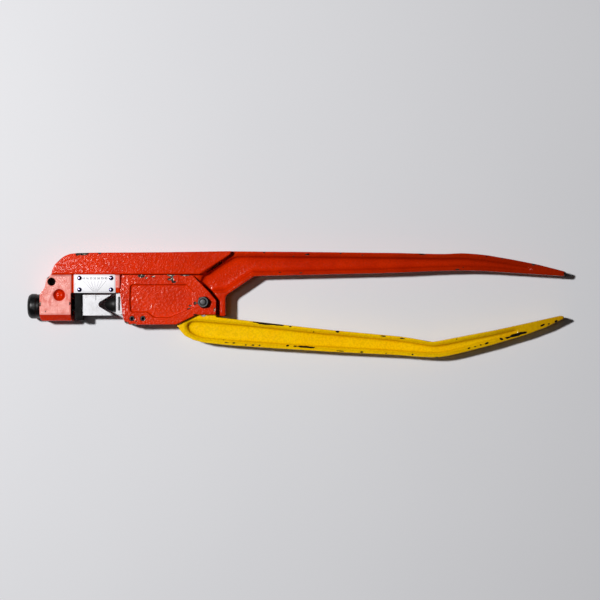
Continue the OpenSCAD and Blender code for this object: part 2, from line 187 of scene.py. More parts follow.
def rgb(red, green, blue):
    """A colour given as it shows on screen, 0 to 255, in linear light."""
    def linear(c):
        c = c / 255.0
        return c / 12.92 if c <= 0.04045 else ((c + 0.055) / 1.055) ** 2.4
    return (linear(red), linear(green), linear(blue), 1.0)


# ---------------------------------------------------------------- materials

def enamel(name, colour, deep, dirt_and_shade, painted_sheen_colour, hammer_mm, hammer_depth, gloss, bare_share, darken_from):
    """Thick gloss enamel on a rough casting, chipped down to dark primer and steel.

    It is darker along its hammer pattern and towards the handle ends, darker in corners and on the hollows'
    walls as painted shade, and paler on the top faces that cast() marks, as a painted sheen."""
    s = Shader(name, Coat_Roughness=0.09, Specular_IOR_Level=0.11)
    s.bsdf.inputs["Specular Tint"].default_value = SHEEN_TINT

    worn = s.attribute("wear")
    ragged = s.math("ADD", worn, s.between(s.noise(1.6, 4.0, 0.75), 0.3, 0.7, -0.22, 0.22))
    chip = s.between(ragged, CHIP_LIMIT, CHIP_LIMIT + 0.05)
    chip_rim = s.between(ragged, CHIP_LIMIT - 0.12, CHIP_LIMIT, 0.0, 0.5)
    painted = s.math("SUBTRACT", 1.0, chip)
    bare = s.math("MULTIPLY", s.between(s.noise(4.0, 3.0), 0.46, 0.60), bare_share)
    metal = s.blend(bare, rgb(20, 16, 15), rgb(122, 112, 102))

    tone = s.between(s.noise(38.0, 2.0), 0.35, 0.7)
    along = s.add("ShaderNodeSeparateXYZ")
    s.link(s.place, along.inputs[0])
    # darker towards the handle ends, rising along x
    darker_to_ends = s.between(along.outputs["X"], darken_from * MM, DARKEN_TO * MM, 0.0, 0.80)
    lumps = s.cells(hammer_mm, 0.8)
    grain = s.noise(hammer_mm * 0.45, 3.0, 0.6)
    # darker along the hammer pattern
    dimples = s.between(s.math("ADD", lumps, s.math("MULTIPLY", grain, 0.5)), 0.60, 0.90, 0.0, 0.16)
    # painted sheen: paler paint on the top faces that cast() marks, standing in for a reflection
    painted_sheen = s.math("MULTIPLY", s.attribute("painted_sheen"), 0.92)
    specks = s.between(s.noise(5.0, 5.0, 0.7), 0.60, 0.74, 0.0, 0.3)
    # painted shade: darker in concave corners and on the hollows' walls, by the amount cast() stored
    corner = s.math("MULTIPLY", s.attribute("corner"), s.between(s.noise(3.0, 3.0), 0.25, 0.6, 0.5, 0.95))

    paint = s.blend(darker_to_ends, s.blend(tone, colour, deep), dirt_and_shade)
    paint = s.blend(dimples, paint, dirt_and_shade)
    paint = s.blend(painted_sheen, paint, painted_sheen_colour)
    paint = s.blend(s.math("MAXIMUM", specks, corner), paint, dirt_and_shade)
    paint = s.blend(chip_rim, paint, dirt_and_shade)

    skin = s.bump(lumps, hammer_depth)
    skin = s.bump(grain, hammer_depth * 0.7, skin)
    skin = s.bump(painted, 0.06, skin)
    s.set(
        Base_Color=s.blend(chip, paint, metal),
        Roughness=s.between(s.noise(11.0, 3.0), 0.3, 0.7, 0.15, 0.24),
        Coat_Weight=s.math("MULTIPLY", painted, gloss),
        Metallic=s.math("MULTIPLY", chip, s.math("MULTIPLY", bare, 0.6)),
        Normal=skin,
    )
    return s.mat


def steel(name, light, dark, rough, stain=0.35, metal=1.0):
    """Ground steel: fine grain along one way, faint stains and small pits."""
    s = Shader(name, Metallic=metal)
    grain = s.noise(1.6, 4.0, 0.7, s.stretched(1.0, 12.0, 12.0))
    blotch = s.between(s.noise(7.0, 4.0, 0.65), 0.5, 0.75, 0.0, stain)
    pits = s.between(s.noise(0.9, 2.0), 0.69, 0.74)
    colour = s.blend(s.between(grain, 0.3, 0.7), light, dark)
    colour = s.blend(blotch, colour, rgb(110, 98, 88))
    colour = s.blend(s.math("MULTIPLY", pits, 0.6), colour, rgb(40, 34, 30))
    skin = s.bump(grain, 0.02)
    skin = s.bump(s.math("SUBTRACT", 1.0, pits), 0.03, skin)
    s.set(
        Base_Color=colour,
        Roughness=s.between(s.noise(3.5, 3.0), 0.3, 0.7, rough - 0.07, rough + 0.1),
        Normal=skin,
    )
    return s.mat


def oxide(name, base, rubbed, rough=0.34, gloss=0.5):
    """Black oxide on steel, rubbed grey in places and dusty in others."""
    s = Shader(name, Metallic=0.3, Specular_IOR_Level=gloss)
    rub = s.between(s.noise(9.0, 5.0, 0.7), 0.55, 0.75, 0.0, 0.7)
    scratch = s.between(s.noise(2.4, 4.0, 0.75, s.stretched(1.0, 9.0, 1.0)), 0.66, 0.72, 0.0, 0.6)
    dust = s.between(s.noise(5.0, 4.0), 0.55, 0.8, 0.0, 0.25)
    colour = s.blend(rub, base, rubbed)
    colour = s.blend(scratch, colour, rgb(84, 82, 80))
    colour = s.blend(dust, colour, rgb(52, 47, 43))
    s.set(
        Base_Color=colour,
        Roughness=s.between(s.noise(4.0, 3.0), 0.3, 0.7, rough - 0.08, rough + 0.14),
        Normal=s.bump(s.noise(0.8, 3.0), 0.012),
    )
    return s.mat


def satin_aluminium():
    s = Shader("satin_aluminium", Metallic=0.1, Specular_IOR_Level=0.3)
    grain = s.noise(1.2, 3.0, 0.6, s.stretched(1.0, 14.0, 1.0))
    marks = s.between(s.noise(5.5, 5.0, 0.75), 0.57, 0.7, 0.0, 0.5)
    colour = s.blend(grain, rgb(240, 239, 243), rgb(252, 251, 254))
    colour = s.blend(marks, colour, rgb(196, 192, 200))
    s.set(
        Base_Color=colour,
        Roughness=s.between(grain, 0.3, 0.7, 0.5, 0.64),
        Normal=s.bump(grain, 0.015),
    )
    return s.mat


def filled_ink(name, colour):
    """Enamel rubbed into engraved marks, worn thin in places."""
    s = Shader(name)
    worn = s.between(s.noise(1.8, 3.0), 0.45, 0.75, 0.0, 0.35)
    s.set(Base_Color=s.blend(worn, colour, rgb(150, 150, 156)), Roughness=0.6,
          Normal=s.bump(s.noise(0.5), 0.01))
    return s.mat


def bronze():
    s = Shader("bronze", Metallic=1.0)
    rings = s.noise(0.7, 3.0, 0.6)
    tarnish = s.between(s.noise(4.0, 4.0), 0.4, 0.7, 0.0, 0.6)
    s.set(Base_Color=s.blend(tarnish, rgb(196, 148, 82), rgb(122, 84, 50)),
          Roughness=s.between(rings, 0.3, 0.7, 0.28, 0.45), Normal=s.bump(rings, 0.015))
    return s.mat


# x where the darkening towards the handle ends is full
DARKEN_TO = 380
SHEEN_TINT = (1.0, 0.72, 0.62, 1.0)
# each pair: a dark colour for dirt and painted shade, and the pale colour of a painted sheen
RED_TONES = dict(dirt_and_shade=rgb(92, 20, 2), painted_sheen_colour=rgb(252, 168, 158))
YELLOW_TONES = dict(dirt_and_shade=rgb(140, 88, 4), painted_sheen_colour=rgb(255, 226, 90))
RED = enamel("red_enamel", rgb(238, 50, 1), rgb(220, 40, 1), **RED_TONES, hammer_mm=2.0,
             hammer_depth=0.22, gloss=0.22, bare_share=0.5, darken_from=-200)
COVER_RED = enamel("cover_enamel", rgb(232, 50, 1), rgb(216, 40, 1), **RED_TONES, hammer_mm=2.5,
                   hammer_depth=0.36, gloss=0.65, bare_share=0.9, darken_from=0)
YELLOW = enamel("yellow_enamel", rgb(255, 208, 3), rgb(254, 197, 1), **YELLOW_TONES, hammer_mm=2.2,
                hammer_depth=0.20, gloss=0.24, bare_share=0.0, darken_from=140)
BRIGHT = steel("ground_steel", rgb(206, 206, 208), rgb(178, 178, 182), 0.34, metal=0.55)
DULL = steel("dull_steel", rgb(96, 96, 98), rgb(62, 62, 64), 0.42, stain=0.5)
# painted reflection: the blue-purple tint stands for the dark surroundings mirrored in the polished domes
RIVET = steel("rivet_steel", rgb(142, 138, 184), rgb(98, 94, 140), 0.16, stain=0.15)
BLACK = oxide("black_oxide", rgb(14, 14, 15), rgb(40, 40, 42))
# painted shade: black oxide made darker and duller than BLACK for the nest holder, which sits in deep shade
SHADE_DARK_BLACK = oxide("shade_dark_black_oxide", rgb(8, 8, 8), rgb(18, 18, 19), 0.55, 0.12)
PUNCH_BLACK = oxide("punch_phosphate", rgb(20, 20, 20), rgb(40, 40, 41), 0.46)
PLATE = satin_aluminium()
INK = filled_ink("scale_ink", rgb(44, 40, 66))
DARK_INK = filled_ink("index_ink", rgb(24, 24, 26))
BUSH = bronze()


# ---------------------------------------------------------------- mesh building blocks

def finish_piece(obj, body, slot, *nodes, smooth_deg=None, flat_faces=False):
    """Names the body and the CAD nodes that a new piece stands for; the material slot it is given is not
    used.
    """
    if smooth_deg is not None:
        obj.data.shade_smooth()
        obj.data.set_sharp_from_angle(angle=math.radians(smooth_deg))
    if flat_faces:
        modifier = obj.modifiers.new("flat faces", "WEIGHTED_NORMAL")
        modifier.keep_sharp = True
        modifier.weight = 100
    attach(obj, body)
    if nodes:
        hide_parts(*nodes)


def new_object(name, mesh, material):
    obj = bpy.data.objects.new(name, mesh)
    scene.collection.objects.link(obj)
    mesh.materials.clear()
    mesh.materials.append(material)
    return obj


def object_from_bmesh(name, bm, material):
    bmesh.ops.recalc_face_normals(bm, faces=bm.faces)
    mesh = bpy.data.meshes.new(name)
    bm.to_mesh(mesh)
    bm.free()
    return new_object(name, mesh, material)


def joined(name, bms, material):
    """One object from several separate solids."""
    whole = bmesh.new()
    for bm in bms:
        part = bpy.data.meshes.new("part")
        bm.to_mesh(part)
        bm.free()
        whole.from_mesh(part)
        bpy.data.meshes.remove(part)
    return object_from_bmesh(name, whole, material)


def rounded(points, radius, steps=4):
    """The same open or closed 2D outline with each marked corner turned into an arc.

    A point is (x, y), or (x, y, r) with a radius of its own; the first and last stay as they are."""
    out = []
    for i, p in enumerate(points):
        here = Vector(p[:2])
        r = p[2] if len(p) > 2 else radius
        if i in (0, len(points) - 1) or r <= 0:
            out.append(here)
            continue
        to_last = Vector(points[i - 1][:2]) - here
        to_next = Vector(points[i + 1][:2]) - here
        cut = min(r, 0.45 * to_last.length, 0.45 * to_next.length)
        start = here + to_last.normalized() * cut
        end = here + to_next.normalized() * cut
        for k in range(steps + 1):
            t = k / steps
            out.append((1 - t) ** 2 * start + 2 * t * (1 - t) * here + t ** 2 * end)
    return out


def lathe(profile, centre, axis, steps):
    """A turned solid. profile is (radius, height) in millimetres, from axis to axis or round a loop."""
    bm = bmesh.new()
    rings = []
    for r, h in profile:
        if r < 1e-6:
            rings.append([bm.verts.new((0, 0, h))])
            continue
        turn = [2 * math.pi * k / steps for k in range(steps)]
        rings.append([bm.verts.new((r * math.cos(a), r * math.sin(a), h)) for a in turn])
    for low, high in zip(rings, rings[1:]):
        for k in range(steps):
            j = (k + 1) % steps
            corners = [low[k % len(low)], low[j % len(low)], high[j % len(high)], high[k % len(high)]]
            corners = list(dict.fromkeys(corners))
            if len(corners) > 2:
                bm.faces.new(corners)
    if len(rings[0]) > 1 and rings[0][0].co == rings[-1][0].co:
        bmesh.ops.remove_doubles(bm, verts=bm.verts, dist=1e-5)
    turn_to = {"z": Matrix(), "x": Matrix.Rotation(math.pi / 2, 4, "Y")}[axis]
    place = Matrix.Translation(Vector(centre) * MM) @ turn_to @ Matrix.Scale(MM, 4)
    bmesh.ops.transform(bm, matrix=place, verts=bm.verts)
    return bm


def prism(outline, low, high, edge):
    """A flat plate with the given outline, in millimetres, and a small round on its rims."""
    bm = bmesh.new()
    points = [Vector(p[:2]) for p in outline]
    face = bm.faces.new([bm.verts.new((p.x, p.y, low)) for p in points])
    top = bmesh.ops.extrude_face_region(bm, geom=[face])
    lifted = [v for v in top["geom"] if isinstance(v, bmesh.types.BMVert)]
    bmesh.ops.translate(bm, verts=lifted, vec=(0, 0, high - low))
    bmesh.ops.recalc_face_normals(bm, faces=bm.faces)
    if edge > 0:
        rims = [e for e in bm.edges if abs(e.verts[0].co.z - e.verts[1].co.z) < 1e-6]
        bmesh.ops.bevel(bm, geom=rims, offset=edge, segments=2, affect="EDGES", profile=0.5)
    bmesh.ops.scale(bm, vec=(MM, MM, MM), verts=bm.verts)
    return bm


def cut(obj, *cutters):
    """Takes the cutters' bmeshes out of an object."""
    for bm in cutters:
        tool = object_from_bmesh("cutter", bm, BLACK)
        modifier = obj.modifiers.new("cut", "BOOLEAN")
        modifier.operation = "DIFFERENCE"
        modifier.solver = "EXACT"
        modifier.object = tool
        apply_modifiers(obj)
        bpy.data.objects.remove(tool)


def apply_modifiers(obj):
    graph = bpy.context.evaluated_depsgraph_get()
    graph.update()
    done = bpy.data.meshes.new_from_object(obj.evaluated_get(graph))
    obj.modifiers.clear()
    old = obj.data
    obj.data = done
    bpy.data.meshes.remove(old)


def machined(node, material, edge_mm):
    """A copy of a CAD node with its flat faces whole again and a fine round on its edges."""
    sharp_from = math.radians(28.0)
    bm = bmesh.new()
    bm.from_mesh(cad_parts[node].data)
    bmesh.ops.remove_doubles(bm, verts=bm.verts, dist=2e-6)
    bmesh.ops.dissolve_limit(bm, angle_limit=math.radians(1.0), verts=bm.verts, edges=bm.edges)
    sharp = [e for e in bm.edges if e.is_manifold and e.calc_face_angle() > sharp_from]
    bmesh.ops.bevel(bm, geom=sharp, offset=edge_mm * MM, segments=2, affect="EDGES",
                    profile=0.5, clamp_overlap=True)
    return object_from_bmesh(node + "_piece", bm, material)


# ---------------------------------------------------------------- casts

def relaxed(points, edges, weight, rounds):
    """Points drawn towards the mean of their neighbours, each by its own weight."""
    a, b = edges[:, 0], edges[:, 1]
    count = np.bincount(a, minlength=len(points)) + np.bincount(b, minlength=len(points))
    share = (weight / np.maximum(count, 1))[:, None]
    for _ in range(rounds):
        total = np.empty_like(points)
        for k in range(3):
            total[:, k] = (np.bincount(a, points[b, k], len(points))
                           + np.bincount(b, points[a, k], len(points)))
        points = points + share * (total - count[:, None] * points)
    return points


def near_floor(points, floor, full, none):
    """1 for points over a hollow's floor or within full millimetres of it, falling to 0 at none."""
    tree = kdtree.KDTree(len(floor))
    for i, p in enumerate(floor):
        tree.insert((p[0], p[1], 0), i)
    tree.balance()
    gap = np.array([tree.find((p[0], p[1], 0))[2] for p in points]) / MM
    return np.clip((none - gap) / (none - full), 0, 1)


def spots_field(points, spots):
    """How far inside the nearest chip each point is: above 0 inside, in share of its radius.

    A spot is (x, y, half length, half width, turn in degrees), in millimetres, centred on the
    highest point it covers. One that also gives a lowest and a highest z fills all between them."""
    field = np.full(len(points), -1.0)
    mm = points / MM
    for spot in spots:
        x, y, long, wide, turn = spot[:5]
        c, s = math.cos(math.radians(turn)), math.sin(math.radians(turn))
        dx, dy = mm[:, 0] - x, mm[:, 1] - y
        u = (dx * c + dy * s) / long
        v = (dy * c - dx * s) / wide
        across = u * u + v * v
        if len(spot) > 5:
            outside = (mm[:, 2] < spot[5]) | (mm[:, 2] > spot[6])
            below = np.where(outside, 2.0, 0.0)
        else:
            covered = across <= max(1.0, 1.5 * across.min())
            below = (mm[covered, 2].max() - mm[:, 2]) / CHIP_REACH
        field = np.maximum(field, 1.0 - np.sqrt(across + below * below))
    return field


def layered_noise(points, size_mm, seed):
    shift = Vector((seed * 3.7, seed * 1.9, seed * 5.3))
    scale = 1.0 / (size_mm * MM)
    return np.array([noise.noise(Vector(p) * scale + shift) for p in points])


def voxel_copy(node, material, voxel_mm):
    """A copy of a CAD node's mesh, cut into small even faces that can be shaped."""
    obj = new_object(node + "_cast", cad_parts[node].data.copy(), material)
    bm = bmesh.new()
    bm.from_mesh(obj.data)
    bmesh.ops.remove_doubles(bm, verts=bm.verts, dist=2e-6)
    bm.to_mesh(obj.data)
    bm.free()
    remesh = obj.modifiers.new("remesh", "REMESH")
    remesh.mode = "VOXEL"
    remesh.voxel_size = voxel_mm * MM
    apply_modifiers(obj)
    obj.data.materials.clear()
    obj.data.materials.append(material)
    return obj


def read_points(mesh, name):
    """A property of the mesh's points, as rows of three numbers."""
    values = np.empty(len(mesh.vertices) * 3)
    mesh.vertices.foreach_get(name, values)
    return values.reshape(-1, 3)


def read_edges(mesh):
    values = np.empty(len(mesh.edges) * 2, int)
    mesh.edges.foreach_get("vertices", values)
    return values.reshape(-1, 2)


def softness(points, normals, floors):
    """1 in and beside the hollows and 0 away from them.

    A floor is its height, 1 or -1 for the way it faces, and the full and none of near_floor."""
    soft = np.zeros(len(points))
    for height, up, full, none in floors:
        above = (points[:, 2] / MM - height) * up
        floor = points[(normals[:, 2] * up > 0.9) & (np.abs(above) < 0.3)]
        soft = np.maximum(soft, near_floor(points, floor, full, none) * (above > -0.4))
    return soft


def cast(node, material, body, slot, voxel_mm, edge_rounds, floors, soft_rounds, rough_mm, spots,
         wear, seed):
    """A casting: the CAD solid with rounded edges, a wavy skin and chips knocked out of its paint.

    floors are the hollows' floors, whose walls are softened into wide fillets, and spots are the
    chips. wear makes the edges more or less rubbed."""
    obj = voxel_copy(node, material, voxel_mm)
    mesh = obj.data
    start = read_points(mesh, "co")
    edges = read_edges(mesh)
    firm = relaxed(start, edges, np.full(len(start), 0.5), edge_rounds)
    soft = softness(start, read_points(mesh, "normal"), floors)
    points = relaxed(firm, edges, 0.5 * soft, soft_rounds)
    mesh.vertices.foreach_set("co", points.ravel())
    mesh.update()
    normals = read_points(mesh, "normal")

    gone = np.einsum("ij,ij->i", start - firm, normals) / (MM * voxel_mm)
    edge = np.clip(gone / 0.45, 0, 1) * (1 - soft)
    # painted shade marked for enamel(): concave corners, and the hollows' walls through soft * (1 - soft)
    corner = np.clip(-gone / 0.5, 0, 1) * (1 - soft) + soft * (1 - soft)
    wave = layered_noise(points, 30.0, seed) * 0.5 + layered_noise(points, 9.0, seed + 1) * 0.3
    skin = layered_noise(points, 3.2, seed + 2)
    torn = layered_noise(points, 5.0, seed + 3)
    patch = layered_noise(points, 22.0, seed + 4)

    chips = CHIP_LIMIT + 1.6 * np.clip(spots_field(points, spots) + 0.45 * torn, -0.4, 0.3)
    rubbed = CHIP_LIMIT + 1.2 * (edge * 0.50 + patch * 0.50 + torn * 0.3 - 0.80 + wear)
    worn = np.clip(np.maximum(chips, np.where(edge > 0.25, rubbed, 0.0)), 0, 1)
    sunk = 0.09 * np.clip((worn - CHIP_LIMIT) * 8, 0, 1)
    lift = rough_mm * (wave + skin * 0.6) - sunk - rough_mm
    points = points + normals * (lift * MM)[:, None]
    mesh.vertices.foreach_set("co", points.ravel())

    mm = start / MM
    # painted sheen: the top faces at the cover's height left of the cover, the head and the strip, get paler
    # paint in place of a reflection
    on_top = (np.abs(mm[:, 2] - FACE_Z) < 0.5) & (normals[:, 2] > 0.7) & (mm[:, 0] < STRIP_RIGHT)
    painted_sheen = on_top * np.clip(0.82 + torn * 0.5 + patch * 0.4, 0, 1)
    for name, values in (("wear", worn), ("corner", corner), ("painted_sheen", painted_sheen)):
        mesh.attributes.new(name, "FLOAT", "POINT").data.foreach_set("value", values)
    mesh.shade_smooth()
    mesh.update()
    finish_piece(obj, body, slot, node)


def red_frame():
    chips = [
        (-257, 60.8, 9, 2.2, 2), (-284.4, 53.6, 3.0, 0.9, 50), (-236, 61.2, 2, 1.2, 0),
        (-299, 32.4, 2.4, 1.2, 40), (-301.4, -8.3, 1.1, 0.8, 20), (-307.6, 1, 1.0, 3.0, 0),
        (-98.4, 46.8, 13, 0.75, 33.5), (-104.5, 41.6, 4.5, 0.9, 33.5),
        (-78.4, 61.5, 1.9, 1.1, 20), (-39.4, 62.4, 1.4, 0.7, 0), (-26.4, 60.3, 1.0, 0.6, 0),
        (-4.4, 57.6, 1.3, 0.9, 30), (12.6, 60.0, 2.8, 0.9, 5), (52.6, 61.3, 1.1, 0.6, 0),
        (78.6, 59.3, 1.2, 0.6, 0), (-20.4, 38.6, 1.6, 0.6, 5), (4.6, 38.0, 2.0, 0.8, 0),
        (150, 60.4, 4, 0.8, -4), (193, 42, 2.6, 0.8, 3), (199.6, 44.8, 0.9, 0.6, 0),
        (228, 57.4, 1.4, 0.7, 0), (247, 54.8, 1.3, 0.7, -12), (284, 48.1, 2.4, 1.3, -16),
        (291, 47.4, 0.9, 0.8, 0), (322.8, 37.0, 1.8, 2.6, 0), (-272, 1.3, 1.0, 2.0, 0),
        # bare dark metal inside the tether hole: partly unpainted wall, partly painted shade of the hole
        (-294.1, 27.2, 5.0, 5.0, 0, -1, FACE_Z - 0.9),
    ]
    floors = [(WEB_HIGH, 1, 3.2, 6.0), (WEB_LOW, -1, 2.4, 5.0)]
    cast("frame", RED, "frame", "red_paint", voxel_mm=0.85, edge_rounds=4, floors=floors,
         soft_rounds=60, rough_mm=0.14, spots=chips, wear=0.0, seed=3)


def red_cover():
    chips = [
        (-186.4, 34.0, 5.0, 1.8, 0), (-180.5, 31.6, 1.4, 1.2, 0), (-172.4, 33.4, 2.4, 1.2, 0),
        (-149.4, 30.4, 1.6, 4.8, 8), (-152.6, 30.0, 2.0, 1.2, 0), (-146.6, 27.0, 1.8, 1.3, 0),
        (-150, 35, 4.5, 1.2, 0), (-133, 34.9, 6.0, 0.9, 0), (-119.4, 29.3, 2.6, 0.7, -45),
        (-124, 0.9, 3.8, 2.0, 15), (-130.4, -5.1, 3.0, 0.7, 20), (-128.0, -1.6, 1.6, 1.0, 0),
        (-204.6, -22.4, 3.2, 2.2, -20), (-196, -24.2, 4.0, 1.2, 0), (-193, -20.6, 1.0, 0.6, 0),
        (-99, -6, 0.8, 2.4, 0), (-122, -12.2, 2.4, 0.8, 10),
    ]
    floors = [(FACE_Z - 2.4, 1, 0.5, 1.2)]
    cast("front_cover", COVER_RED, "frame", "red_paint", voxel_mm=0.5, edge_rounds=4,
         floors=floors, soft_rounds=4, rough_mm=0.12, spots=chips, wear=0.0, seed=9)


def yellow_handle():
    chips = [
        (-34, -23.3, 19, 1.1, -6.5), (-41, -22.8, 8, 1.5, -6.5), (-8, -26.6, 1.6, 0.8, 0),
        (48.6, -32.6, 2.4, 1.4, -6), (20, -33.4, 1.0, 0.7, 0), (103.6, -38.1, 3.0, 0.8, -5),
        (126.4, -40.9, 3.6, 0.8, -8), (157, -43.6, 6.4, 0.7, -9), (192, -41.6, 0.9, 0.6, 0),
        (8, -50.4, 12, 1.5, -3), (16, -51.4, 5, 1.4, -3), (-11, -49.4, 2.0, 1.1, 20),
        (-53, -48.9, 1.4, 0.9, 0), (-61.5, -48.6, 1.1, 1.0, 0), (-45, -49.2, 1.2, 0.8, 0),
        (-88.4, -42.4, 1.0, 0.5, 0), (-85, -45.8, 2.8, 0.5, -5), (-76, -46.2, 1.6, 0.8, 0),
        (52, -56.0, 5.0, 0.5, -3), (78, -57.2, 1.8, 0.8, 0), (107, -59.0, 1.6, 0.7, 0),
        (139, -60.2, 1.6, 1.1, -20), (168, -63.6, 2.0, 0.7, 0), (207, -52.6, 1.8, 1.1, 20),
        (214, -50.8, 1.6, 0.8, 20), (228, -46.6, 2.8, 1.2, 25), (221, -48.6, 1.0, 0.8, 0),
        (246, -41.6, 2.2, 1.3, -30), (262.5, -37.0, 12.5, 2.0, 15), (255, -39.6, 4, 1.6, 15),
        (295.5, -25.0, 3.2, 1.4, 20), (303, -23.6, 1.6, 1.0, 20), (311.6, -20.2, 2.6, 1.7, 25),
        (322.0, -16.0, 1.4, 1.5, 0), (-142.5, -28.4, 2.0, 0.6, -55),
    ]
    floors = [(WEB_HIGH, 1, 2.4, 5.0), (WEB_LOW, -1, 2.4, 5.0)]
    cast("moving_handle", YELLOW, "handle", "yellow_paint", voxel_mm=0.8, edge_rounds=3,
         floors=floors, soft_rounds=44, rough_mm=0.12, spots=chips, wear=-0.05, seed=6)


# ---------------------------------------------------------------- turned, ground and small pieces

def thread_rings(root, crest, first, last, pitch, crest_from, crest_to):
    """Profile points of a thread's rings between two heights. The crest is in shares of the pitch."""
    points = []
    at = first
    while at + pitch < last:
        points += [Vector((root, at)), Vector((crest, at + pitch * crest_from)),
                   Vector((crest, at + pitch * crest_to)), Vector((root, at + pitch))]
        at += pitch
    return points


def knob():
    """The knob: rounded end with a hollow and a screwdriver slot, smooth rim and long hub."""
    low, high = box_mm("adjusting_knob")
    r = (high.y - low.y) / 2
    left, right = low.x, high.x
    bore, bore_deep = 6.02, 9
    profile = rounded([
        (0, left + 2.2, 0), (2.6, left + 2.2), (4.4, left, 0.8), (r - 4.2, left, 1.5),
        (r - 1.5, left + 1.5, 1.5), (r, left + 4.0, 1.2), (r, left + 9.8, 0.4),
        (r - 0.7, left + 10.4, 0.3), (r - 0.7, right - 0.8, 0.5), (r - 1.4, right, 0.3), (bore, right, 0.2),
        (bore, right - bore_deep, 0.2), (0, right - bore_deep, 0)], 0.4)
    bm = lathe(profile, (0, SPINDLE_Y, MID_Z), "x", 96)
    obj = object_from_bmesh("adjusting_knob_piece", bm, BLACK)
    half, deep, turned = 1.6, 2.3, math.radians(118)
    slot_box = prism([(-20, -half), (20, -half), (20, half), (-20, half)], -1, deep, 0)
    place = (Matrix.Translation((left * MM, SPINDLE_Y * MM, MID_Z * MM))
             @ Matrix.Rotation(turned, 4, "X") @ Matrix.Rotation(math.pi / 2, 4, "Y"))
    bmesh.ops.transform(slot_box, matrix=place, verts=slot_box.verts)
    cut(obj, slot_box)
    finish_piece(obj, "adjuster", "black_steel", "adjusting_knob", smooth_deg=32)


def knob_cross_pin():
    low, high = box_mm("knob_pin")
    mid = middle_mm("knob_pin")
    r = (high.x - low.x) / 2
    bm = lathe(rounded([(0, low.z, 0), (r, low.z), (r, high.z), (0, high.z, 0)], 0.4),
               (mid.x, mid.y, 0), "z", 32)
    obj = object_from_bmesh("knob_pin_piece", bm, BRIGHT)
    finish_piece(obj, "adjuster", "ground_steel", "knob_pin", smooth_deg=40)


def spindle():
    """The spindle with its keeper groove and the threads on its nose."""
    low, high = box_mm("adjusting_spindle")
    r = (high.z - low.z) / 2
    keeper = middle_mm("spindle_pin").x
    head_left, head_right = -308.9, -271.4
    nose, root = 6.0, 5.35
    groove, groove_half = 8.1, 5.3
    profile = rounded([
        (0, low.x, 0), (nose, low.x, 0.5), (nose, head_left, 0), (r, head_left, 0.4),
        (r, keeper - groove_half, 0.3), (groove, keeper - groove_half, 0.3),
        (groove, keeper + groove_half, 0.3), (r, keeper + groove_half, 0.3),
        (r, head_right, 0.4), (root, head_right, 0)], 0.3)
    profile += thread_rings(root, nose, head_right + 0.8, high.x - 1, 2.0, 0.4, 0.55)
    profile += [Vector((5, high.x)), Vector((0, high.x))]
    bm = lathe(profile, (0, SPINDLE_Y, MID_Z), "x", 64)
    obj = object_from_bmesh("adjusting_spindle_piece", bm, DULL)
    finish_piece(obj, "adjuster", "dark_steel", "adjusting_spindle", smooth_deg=34)


def punch_piece():
    """The punch: round nose, body, and shank with a groove for the clip."""
    low, high = box_mm("punch")
    r = (high.z - low.z) / 2
    tip = low.x
    shoulder = box_mm("ram")[0].x
    shank, groove = 5, 3.7
    groove_left, groove_right = shoulder + 2.6, shoulder + 4.95
    profile = rounded([
        (0, tip, 0), (1.2, tip), (2.2, tip + 0.5), (4, tip + 2), (5.7, tip + 4), (7.1, tip + 6),
        (8.2, tip + 8), (9, tip + 10), (r, tip + 12)], 1.2)
    profile += rounded([
        (r, tip + 12.1, 0), (r, shoulder, 0.4), (shank, shoulder, 0.2), (shank, groove_left, 0.1),
        (groove, groove_left, 0.1), (groove, groove_right, 0.1), (shank, groove_right, 0.1),
        (shank, high.x - 0.8, 0.3), (shank - 1, high.x, 0.3), (0, high.x, 0)], 0.2)
    obj = object_from_bmesh("punch_piece", lathe(profile, (0, 0, MID_Z), "x", 96), PUNCH_BLACK)
    finish_piece(obj, "ram", "black_steel", "punch", smooth_deg=34)


def pivot_nut():
    """A hexagon nut with turned corners and a countersunk hole."""
    low, high = box_mm("pivot_nut")
    flat = 12.5 / 2
    corner = flat / math.cos(math.pi / 6)
    hole_r, mouth_r, turned = 4.02, 4.7, 12
    angles = [math.radians(turned + 60 * k) for k in range(6)]
    corners = [(corner * math.cos(a), corner * math.sin(a)) for a in angles]
    nut = object_from_bmesh("pivot_nut_piece", prism(corners, low.z, high.z, 0), DULL)
    nut.data.transform(Matrix.Translation((PIVOT.x * MM, PIVOT.y * MM, 0)))
    crown = lathe([(corner + 3, low.z - 2), (corner + 3, high.z + 2), (flat - 0.7, high.z + 2),
                   (flat - 0.5, high.z + 0.05), (corner + 0.5, high.z - 1.2), (corner + 0.5, low.z + 0.9),
                   (flat, low.z - 0.05), (flat, low.z - 2), (corner + 3, low.z - 2)],
                  (PIVOT.x, PIVOT.y, 0), "z", 64)
    hole = lathe([(0, low.z - 1), (hole_r, low.z - 1), (hole_r, high.z - 0.5), (mouth_r, high.z + 0.2),
                  (mouth_r, high.z + 1), (0, high.z + 1)], (PIVOT.x, PIVOT.y, 0), "z", 48)
    cut(nut, crown, hole)
    finish_piece(nut, "frame", "dark_steel", "pivot_nut", smooth_deg=25)


